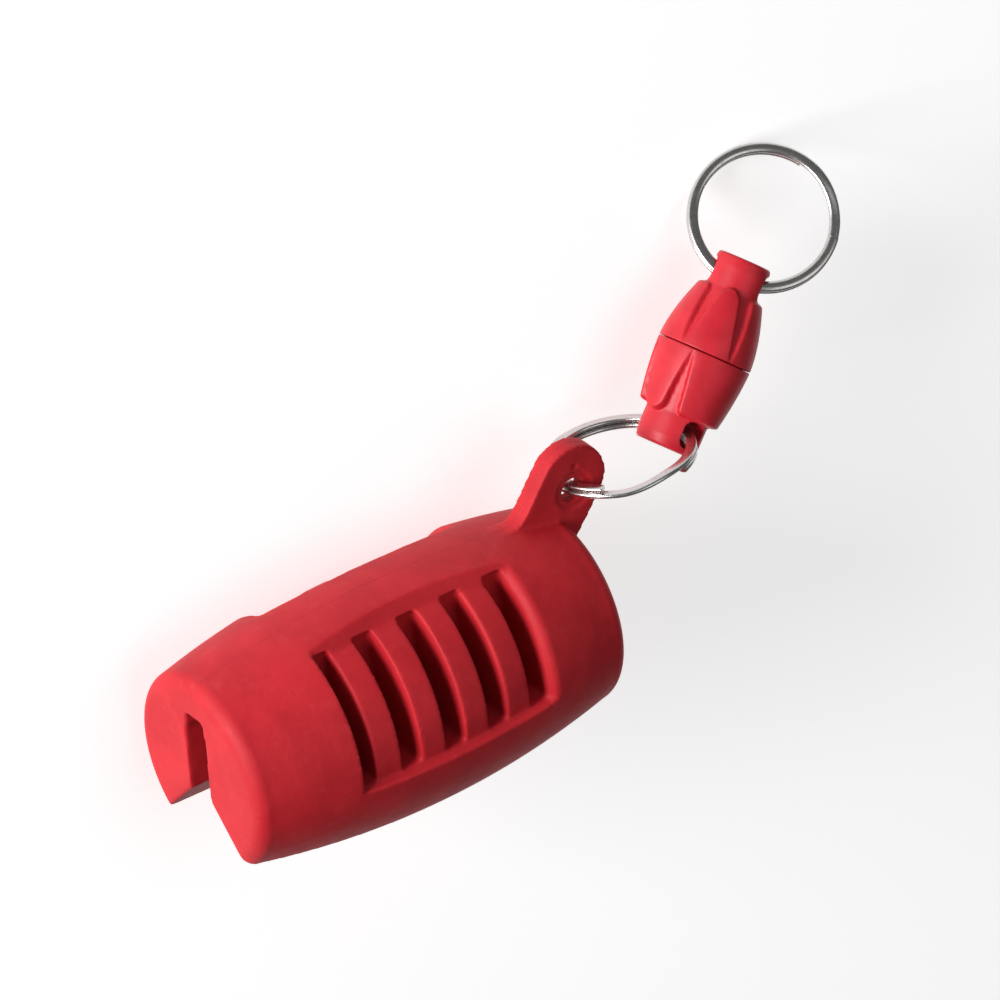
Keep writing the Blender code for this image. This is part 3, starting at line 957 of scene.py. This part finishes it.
    def lug(self) -> bpy.types.Object:
        """The lug: a round head on a root that sweeps into the barrel's back."""
        centre = self.hole.to_2d() - Vector((0.0, self.lug_lead))
        front_behind = self.length - self.lug_front
        front = Vector((-front_behind, -self.radius(front_behind)))
        rear = Vector((-self.length + 2.0, -self.end_radius + self.lug_rear_drop + 2.0))
        start = self.tangent(front, centre, -1.0)
        end = self.tangent(rear, centre, 1.0)
        while end > start:
            end -= 360.0
        head = arc(tuple(centre), self.lug_head, start, end, 40)
        rise = (Vector(head[0]) - front).normalized()
        foot = Vector((front.x + self.fillet, -self.radius(front_behind - self.fillet)))
        sweep = []
        for step in range(7):
            share = step / 6.0
            near = foot.lerp(front, share)
            far = front.lerp(front + rise * self.fillet, share)
            sweep.append(tuple(near.lerp(far, share)))
        sunk = [(foot.x, foot.y + 3.0)]
        return plate("lug", [*sunk, *sweep, *head, tuple(rear)], self.lug_thickness)

    def tangent(self, point: Vector, centre: Vector, side: float) -> float:
        """Where a line from a point touches the lug's head.

        Args:
            point: The point outside the head.
            centre: The head's centre.
            side: 1 or -1, for which of the two places.

        Returns:
            The angle round the head, in degrees.
        """
        toward = point - centre
        bearing = math.atan2(toward.y, toward.x)
        return math.degrees(bearing + side * math.acos(self.lug_head / toward.length))

    def rod(
        self, name: str, at: Vector, radius: float, low: float, high: float
    ) -> bpy.types.Object:
        """A rod along Z.

        Args:
            name: The object's name.
            at: Its middle line.
            radius: Its radius.
            low: Its lowest height.
            high: Its highest height.

        Returns:
            The rod.
        """
        rod = turned(name, [(radius, low), (radius, high)], 48)
        return place(rod, Matrix.Translation((at.x * MM, at.y * MM, 0.0)))

    def lug_cuts(self) -> list[bpy.types.Object]:
        """The lug's hole, the shallow seats round it and the ejector's dimple beside it."""
        half = self.lug_thickness / 2.0
        hole = self.rod("lug_hole", self.hole, self.lug_hole / 2.0, -half * 2.0, half * 2.0)
        seats = [
            self.rod("upper_seat", self.hole, 4.0, half - 0.35, half * 2.0),
            self.rod("lower_seat", self.hole, 4.0, -half * 2.0, 0.35 - half),
        ]
        beside = self.hole + Vector((-0.6, -4.9, 0.0))
        return [hole, *seats, self.rod("dimple", beside, 0.7, half - 0.4, half * 2.0)]

    def build(self, chain: Chain) -> bpy.types.Object:
        """Model the grip and dress it.

        Args:
            chain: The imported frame's joints.

        Returns:
            The grip.
        """
        grip = self.barrel(0.0)
        grip.name = "moulded_grip"
        cuts = [self.slot(), self.slot_nick(), *self.window(Side.UPPER), *self.window(Side.LOWER)]
        combine(grip, cuts, "DIFFERENCE")
        combine(grip, [self.lug()], "UNION")
        combine(grip, self.lug_cuts(), "DIFFERENCE")
        soften(grip, self.voxel, 3, 0.6)
        frame = self.frame(chain)
        place(grip, frame)
        grip.data.materials.clear()
        grip.data.materials.append(self.finish.paint("moulded_rubber", frame))
        return grip


@dataclass
class SplitRing:
    """A split ring in millimetres: two turns of oval wire with a step between them."""

    name: str
    crossover_at: float
    outside: float = 28.0
    wire_wide: float = 2.0
    wire_thick: float = 1.15
    coil_gap: float = 0.1
    crossover: float = 25.0
    neck_radius: float = 5.1
    stations: int = 320
    section_corners: int = 24
    fullness: float = 0.86
    finish: PlatedMetal = NICKEL

    @property
    def mean(self) -> float:
        """The radius of the wire's middle line."""
        return (self.outside - self.wire_wide) / 2.0

    @property
    def pitch(self) -> float:
        """The distance between the two turns' middles."""
        return self.wire_thick + self.coil_gap

    def seat(self) -> float:
        """How far the opening of a neck sits from the ring's centre."""
        return self.mean - (self.mean - math.sqrt(self.mean**2 - self.neck_radius**2)) * 0.45

    def frame(self, neck: Hinge, node: str, toward_neck: bool) -> Matrix:
        """The ring's frame: Z along its axis, X towards the lug's hole or the neck it starts from.

        Args:
            neck: The joint at the neck that the ring passes through.
            node: The CAD node that the ring stands for.
            toward_neck: Whether X points to that neck, or away from it.

        Returns:
            The frame's matrix.
        """
        low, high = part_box(node)
        inward = (low + high) / 2.0 - neck.place
        inward = (inward - neck.axis * inward.dot(neck.axis)).normalized()
        centre = neck.place + inward * self.seat() * MM
        across = -inward if toward_neck else inward
        return axes_frame(centre, across, across.cross(neck.axis))

    def path(self) -> list[Vector]:
        """The wire's middle line: two flat turns with a short step between them."""
        start = self.crossover_at + self.crossover + math.degrees(2.0 * self.pitch / self.mean)
        sweep = 720.0 - 2.0 * (start - self.crossover_at)
        points = []
        for station in range(self.stations + 1):
            angle = start + sweep * station / self.stations
            step = (angle - self.crossover_at - 360.0) / self.crossover
            height = self.pitch / 2.0 * math.sin(max(-1.0, min(1.0, step)) * math.pi / 2.0)
            turn = math.radians(angle)
            points.append(
                Vector((self.mean * math.cos(turn), self.mean * math.sin(turn), height)) * MM
            )
        return points

    def section(self) -> bpy.types.Object:
        """The wire's section, a full oval, as a closed curve."""
        outline: list[Point] = []
        for corner in range(self.section_corners):
            turn = 2.0 * math.pi * (corner + 0.5) / self.section_corners
            across, up = math.cos(turn), math.sin(turn)
            outline.append(
                (
                    math.copysign(abs(across) ** self.fullness, across) * self.wire_wide / 2.0,
                    math.copysign(abs(up) ** self.fullness, up) * self.wire_thick / 2.0,
                )
            )
        mesh = bpy.data.meshes.new("wire_section")
        corners = [(a * MM, b * MM, 0.0) for a, b in outline]
        mesh.from_pydata(
            corners, [(i, (i + 1) % len(corners)) for i in range(len(corners))], []
        )
        item = bpy.data.objects.new("wire_section", mesh)
        bpy.context.collection.objects.link(item)
        only(item)
        bpy.ops.object.convert(target="CURVE")
        item.data.dimensions = "2D"
        return item

    def build(self, frame: Matrix) -> bpy.types.Object:
        """Model the ring and dress it.

        Args:
            frame: The ring's frame.

        Returns:
            The ring.
        """
        points = self.path()
        mesh = bpy.data.meshes.new(self.name)
        mesh.from_pydata(points, [(i, i + 1) for i in range(len(points) - 1)], [])
        ring = bpy.data.objects.new(self.name, mesh)
        bpy.context.collection.objects.link(ring)
        only(ring)
        bpy.ops.object.convert(target="CURVE")
        section = self.section()
        ring.data.twist_mode = "Z_UP"
        ring.data.bevel_mode = "OBJECT"
        ring.data.bevel_object = section
        ring.data.use_fill_caps = True
        only(ring)
        bpy.ops.object.convert(target="MESH")
        bpy.data.objects.remove(section, do_unlink=True)
        outward(ring)
        sharp = math.radians(60)
        edge = {"width": 0.14 * MM, "segments": 3, "limit_method": "ANGLE", "angle_limit": sharp}
        finish_modifier(ring, "BEVEL", **edge)
        place(ring, frame)
        only(ring)
        bpy.ops.object.shade_smooth_by_angle(angle=math.radians(40.0))
        ring.data.materials.clear()
        ring.data.materials.append(self.finish.paint(f"{self.name}_plate"))
        return ring


@dataclass
class CouplingHalf:
    """One half of the pull-apart coupling in millimetres, with Z from the seam to its neck."""

    name: str
    side: Side
    neck_end: float
    length: float = 18.35
    seam_radius: float = 8.9
    shoulder: float = 6.1
    swell: float = 1.7
    neck: float = 5.3
    neck_length: float = 6.3
    hole_width: float = 4.7
    hole_length: float = 5.0
    hole_edge: float = 3.7
    hole_corner: float = 1.5
    valley: float = 58.5
    wide_end: float = 48.0
    narrow_end: float = 19.5
    wide_reach: float = 12.05
    narrow_reach: float = 12.7
    wide_corner: float = 1.1
    narrow_corner: float = 2.3
    wall_run: float = 0.55
    seam_gap: float = 0.16
    magnet_radius: float = 4.2
    magnet_height: float = 4.2
    cup_wall: float = 1.0
    fit: float = 0.3
    spigot: float = 0.8
    spigot_wall: float = 1.3
    segments: int = 192
    voxel: float = 0.17
    finish: MouldedPlastic = field(default_factory=MouldedPlastic)

    @property
    def petal(self) -> float:
        """The petals' length, from the seam to the neck."""
        return self.length - self.neck_length

    @property
    def cup_radius(self) -> float:
        """The steel cup's outside radius."""
        return self.magnet_radius + self.fit + self.cup_wall

    @property
    def cup_height(self) -> float:
        """The steel cup's height."""
        return self.magnet_height + self.fit + self.cup_wall

    @property
    def face(self) -> float:
        """The height of the magnet's face: proud on the lower half and sunk in the upper."""
        return -self.spigot if self.side is Side.LOWER else self.spigot + self.fit

    def petal_surface(self, angle: float, height: float) -> float:
        """The outside's radius: wide and narrow petals by turns, with V-shaped valleys between.

        Args:
            angle: The angle from the opening's axis, in radians.
            height: The height above the seam.

        Returns:
            The radius.
        """
        share = min(1.0, max(0.0, height / self.petal))
        raised = self.seam_radius - (self.seam_radius - self.shoulder) * share**self.swell
        sunk = self.seam_radius - (self.seam_radius - self.neck) * share
        folded = math.degrees(abs((angle + math.pi / 2.0) % math.pi - math.pi / 2.0))
        if folded < self.valley:
            half = self.valley + (self.wide_end - self.valley) * share
            reach, corner = self.wide_reach, self.wide_corner
        else:
            folded = 90.0 - folded
            start = 90.0 - self.valley
            half = start + (self.narrow_end - start) * share
            reach, corner = self.narrow_reach, self.narrow_corner
        side = math.radians(half - folded) * raised
        if height > reach - corner:
            past = min(1.0, (height - reach + corner) / corner)
            side -= corner * (1.0 - math.sqrt(1.0 - past * past))
        inside = min(side, reach - height) / self.wall_run
        inside = min(1.0, max(0.0, inside))
        return sunk + (raised - sunk) * math.sqrt(1.0 - (1.0 - inside) ** 2)

    def shell(self) -> bpy.types.Object:
        """The shell: a turned solid whose wall is drawn out into petals, hollow for the magnet."""
        end = self.neck_end
        profile = [(end * 0.5, self.length), (end - 0.35, self.length), (end, self.length - 0.35)]
        profile += [
            (end + (self.neck - end) * step / 4.0, self.length - 0.35 - 1.6 * step / 4.0)
            for step in range(1, 5)
        ]
        top = self.narrow_reach + 0.1
        profile.append((self.neck, top + 0.1))
        rows = 72
        low = self.seam_gap / 2.0
        profile += [
            (self.seam_radius, top + (low - top) * row / rows) for row in range(rows + 1)
        ]
        spigot = self.cup_radius + self.fit + self.spigot_wall
        if self.side is Side.UPPER:
            spigot += self.fit
        profile += [
            (spigot, low),
            (spigot, self.face),
            (self.cup_radius + self.fit, self.face),
            (self.cup_radius + self.fit, self.face + self.cup_height + self.fit),
            (self.cup_radius * 0.4, self.face + self.cup_height + self.fit),
        ]
        shell = turned(self.name, profile, self.segments)
        for vertex in shell.data.vertices:
            radius = math.hypot(vertex.co.x, vertex.co.y)
            if radius < (self.seam_radius - 0.01) * MM:
                continue
            angle = math.atan2(vertex.co.y, vertex.co.x)
            target = self.petal_surface(angle, vertex.co.z / MM) * MM
            vertex.co.x *= target / radius
            vertex.co.y *= target / radius
        shell.data.update()
        return shell

    def opening(self) -> bpy.types.Object:
        """The opening through the neck, a rounded oblong."""
        deep = self.seam_radius * 1.5
        at = self.length - self.hole_edge
        half = self.hole_width / 2.0
        tall = self.hole_length / 2.0
        block = cuboid("neck_opening", (-deep, -half, at - tall), (deep, half, at + tall))
        finish_modifier(block, "BEVEL", width=self.hole_corner * MM, segments=6)
        return block

    def build(self, frame: Matrix) -> bpy.types.Object:
        """Model the shell and dress it.

        Args:
            frame: The half's frame.

        Returns:
            The shell.
        """
        shell = self.shell()
        combine(shell, [self.opening()], "DIFFERENCE")
        soften(shell, self.voxel, 2)
        place(shell, frame)
        shell.data.materials.clear()
        shell.data.materials.append(self.finish.paint(f"{self.name}_plastic", frame))
        return shell

    def dress_metal(
        self, item: bpy.types.Object, finish: PlatedMetal, frame: Matrix
    ) -> bpy.types.Object:
        """Round a turned metal piece's edges, put it in place and dress it.

        Args:
            item: The piece.
            finish: Its plating.
            frame: The half's frame.

        Returns:
            The piece.
        """
        sharp = math.radians(50)
        edge = {"width": 0.22 * MM, "segments": 3, "limit_method": "ANGLE", "angle_limit": sharp}
        finish_modifier(item, "BEVEL", **edge)
        place(item, frame)
        only(item)
        bpy.ops.object.shade_smooth_by_angle(angle=math.radians(35.0))
        item.data.materials.clear()
        item.data.materials.append(finish.paint(f"{item.name}_plate"))
        return item

    def cup(self, frame: Matrix) -> bpy.types.Object:
        """The steel cup that the magnet sits in."""
        base = self.face + self.cup_height
        inner = self.magnet_radius + self.fit
        profile = [
            (self.cup_radius * 0.3, base),
            (self.cup_radius, base),
            (self.cup_radius, self.face),
            (inner, self.face),
            (inner, base - self.cup_wall),
            (inner * 0.3, base - self.cup_wall),
        ]
        cup = turned(f"{self.side.name.lower()}_steel_cup", profile, 96)
        return self.dress_metal(cup, ZINC, frame)

    def magnet(self, frame: Matrix) -> bpy.types.Object:
        """The disc magnet, flush with its cup's rim."""
        top = self.face + self.magnet_height
        profile = [
            (self.magnet_radius * 0.5, top),
            (self.magnet_radius, top),
            (self.magnet_radius, self.face),
            (self.magnet_radius * 0.5, self.face),
        ]
        magnet = turned(f"{self.side.name.lower()}_disc_magnet", profile, 96)
        return self.dress_metal(magnet, MAGNET, frame)


@dataclass
class Studio:
    """The floor, the soft lights and the camera, in metres and degrees."""

    azimuth: float = 39.186
    elevation: float = 44.061
    roll: float = 125.401
    span: float = 0.17912
    aim_right: float = 0.00717
    aim_up: float = -0.00810
    lens: float = 400.0
    sensor: float = 36.0
    floor_size: float = 6.0
    floor_glow: float = 0.56

    def view_axes(self) -> tuple[Vector, Vector, Vector]:
        """Right, up and towards the viewer."""
        turn = math.radians(self.azimuth)
        rise = math.radians(self.elevation)
        roll = math.radians(self.roll)
        back = Vector(
            (math.sin(turn) * math.cos(rise), -math.cos(turn) * math.cos(rise), math.sin(rise))
        )
        level = Vector((math.cos(turn), math.sin(turn), 0.0))
        upright = back.cross(level)
        right = level * math.cos(roll) + upright * math.sin(roll)
        return right, back.cross(right), back

    def camera(self) -> bpy.types.Object:
        """A long lens at the viewing angle, with the object filling its frame."""
        right, up, back = self.view_axes()
        data = bpy.data.cameras.new("camera")
        data.lens = self.lens
        data.sensor_width = self.sensor
        data.clip_start = 0.05
        data.clip_end = 50.0
        camera = bpy.data.objects.new("camera", data)
        bpy.context.collection.objects.link(camera)
        target = right * self.aim_right + up * self.aim_up + back * 0.010
        distance = self.span * self.lens / self.sensor
        matrix = Matrix((right, up, back)).transposed().to_4x4()
        matrix.translation = target + back * distance
        camera.matrix_world = matrix
        bpy.context.scene.camera = camera
        return camera

    def floor(self) -> bpy.types.Object:
        """A pale floor with the faintest tooth."""
        bpy.ops.object.select_all(action="DESELECT")
        bpy.ops.mesh.primitive_plane_add(size=self.floor_size)
        floor = bpy.context.object
        floor.name = "floor"
        paint = Paint("pale_paper")
        tooth = paint.noise(0.8, 3.0, 0.5)
        tone = paint.blend(tooth, (0.90, 0.90, 0.90), (0.94, 0.94, 0.94))
        glow = {"Emission_Color": (1.0, 1.0, 1.0), "Emission_Strength": self.floor_glow}
        floor.data.materials.append(paint.done(Base_Color=tone, Roughness=0.8, **glow))
        return floor

    def lamp(
        self, name: str, direction: Vector, distance: float, size: float, power: float
    ) -> bpy.types.Object:
        """A soft square lamp that faces the object.

        Args:
            name: The lamp's name.
            direction: Where it stands, seen from the object.
            distance: How far off it stands.
            size: Its side.
            power: Its power in watts.

        Returns:
            The lamp.
        """
        data = bpy.data.lights.new(name, "AREA")
        data.size = size
        data.energy = power
        lamp = bpy.data.objects.new(name, data)
        bpy.context.collection.objects.link(lamp)
        toward = direction.normalized()
        lamp.location = toward * distance
        lamp.rotation_euler = toward.to_track_quat("Z", "Y").to_euler()
        lamp.visible_camera = False
        return lamp

    def build(self) -> None:
        """Set the camera, the floor, the lamps and the pale surround."""
        self.camera()
        bpy.context.scene.view_settings.view_transform = "Standard"
        self.floor()
        self.lamp("key", Vector((0.93, -0.36, 0.18)), 1.0, 0.45, 13.5)
        self.lamp("top", Vector((-0.1, -0.3, 1.0)), 1.1, 0.8, 2.0)
        world = bpy.data.worlds.new("pale_surround")
        world.use_nodes = True
        background = world.node_tree.nodes["Background"]
        background.inputs["Color"].default_value = (1.0, 1.0, 1.0, 1.0)
        background.inputs["Strength"].default_value = 0.12
        bpy.context.scene.world = world


def carry(item: bpy.types.Object, body: str, node: str) -> None:
    """Let a finished piece ride on a body in the place of a CAD node.

    Args:
        item: The piece.
        body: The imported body.
        node: The CAD node that it stands for.
    """
    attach(item, body)
    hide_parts(node)
    LOG.info("%s: %d faces for %s", item.name, len(item.data.polygons), node)


def main() -> None:
    """Load the frame, build every piece round it and set the studio up."""
    logging.basicConfig(level=logging.INFO, format="%(message)s")
    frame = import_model()
    chain = Chain(frame["record"])

    carry(Grip().build(chain), "grip", "grip_body")

    lug_ring = SplitRing("lug_split_ring", crossover_at=72.0)
    neck = chain.joints["lower_neck_swing"]
    lug_wire = lug_ring.build(lug_ring.frame(neck, "lug_ring", False))
    carry(lug_wire, "lug_ring", "lug_ring")
    key_ring = SplitRing("key_split_ring", crossover_at=134.0)
    neck = chain.joints["upper_neck_swing"]
    key_wire = key_ring.build(key_ring.frame(neck, "key_ring", True))
    carry(key_wire, "key_ring", "key_ring")

    lower = CouplingHalf("lower_half_shell", Side.LOWER, neck_end=5.55, shoulder=7.5, neck=5.9)
    seam = chain.seam(Side.LOWER)
    carry(lower.build(seam), "lower_half", "lower_shell")
    carry(lower.cup(seam), "lower_half", "lower_cup")
    carry(lower.magnet(seam), "lower_half", "lower_magnet")
    upper = CouplingHalf("upper_half_shell", Side.UPPER, neck_end=5.05)
    seam = chain.seam(Side.UPPER)
    carry(upper.build(seam), "upper_half", "upper_shell")
    carry(upper.cup(seam), "pull_plate", "upper_cup")
    carry(upper.magnet(seam), "pull_plate", "upper_magnet")

    Studio().build()


if __name__ == "__main__":
    main()
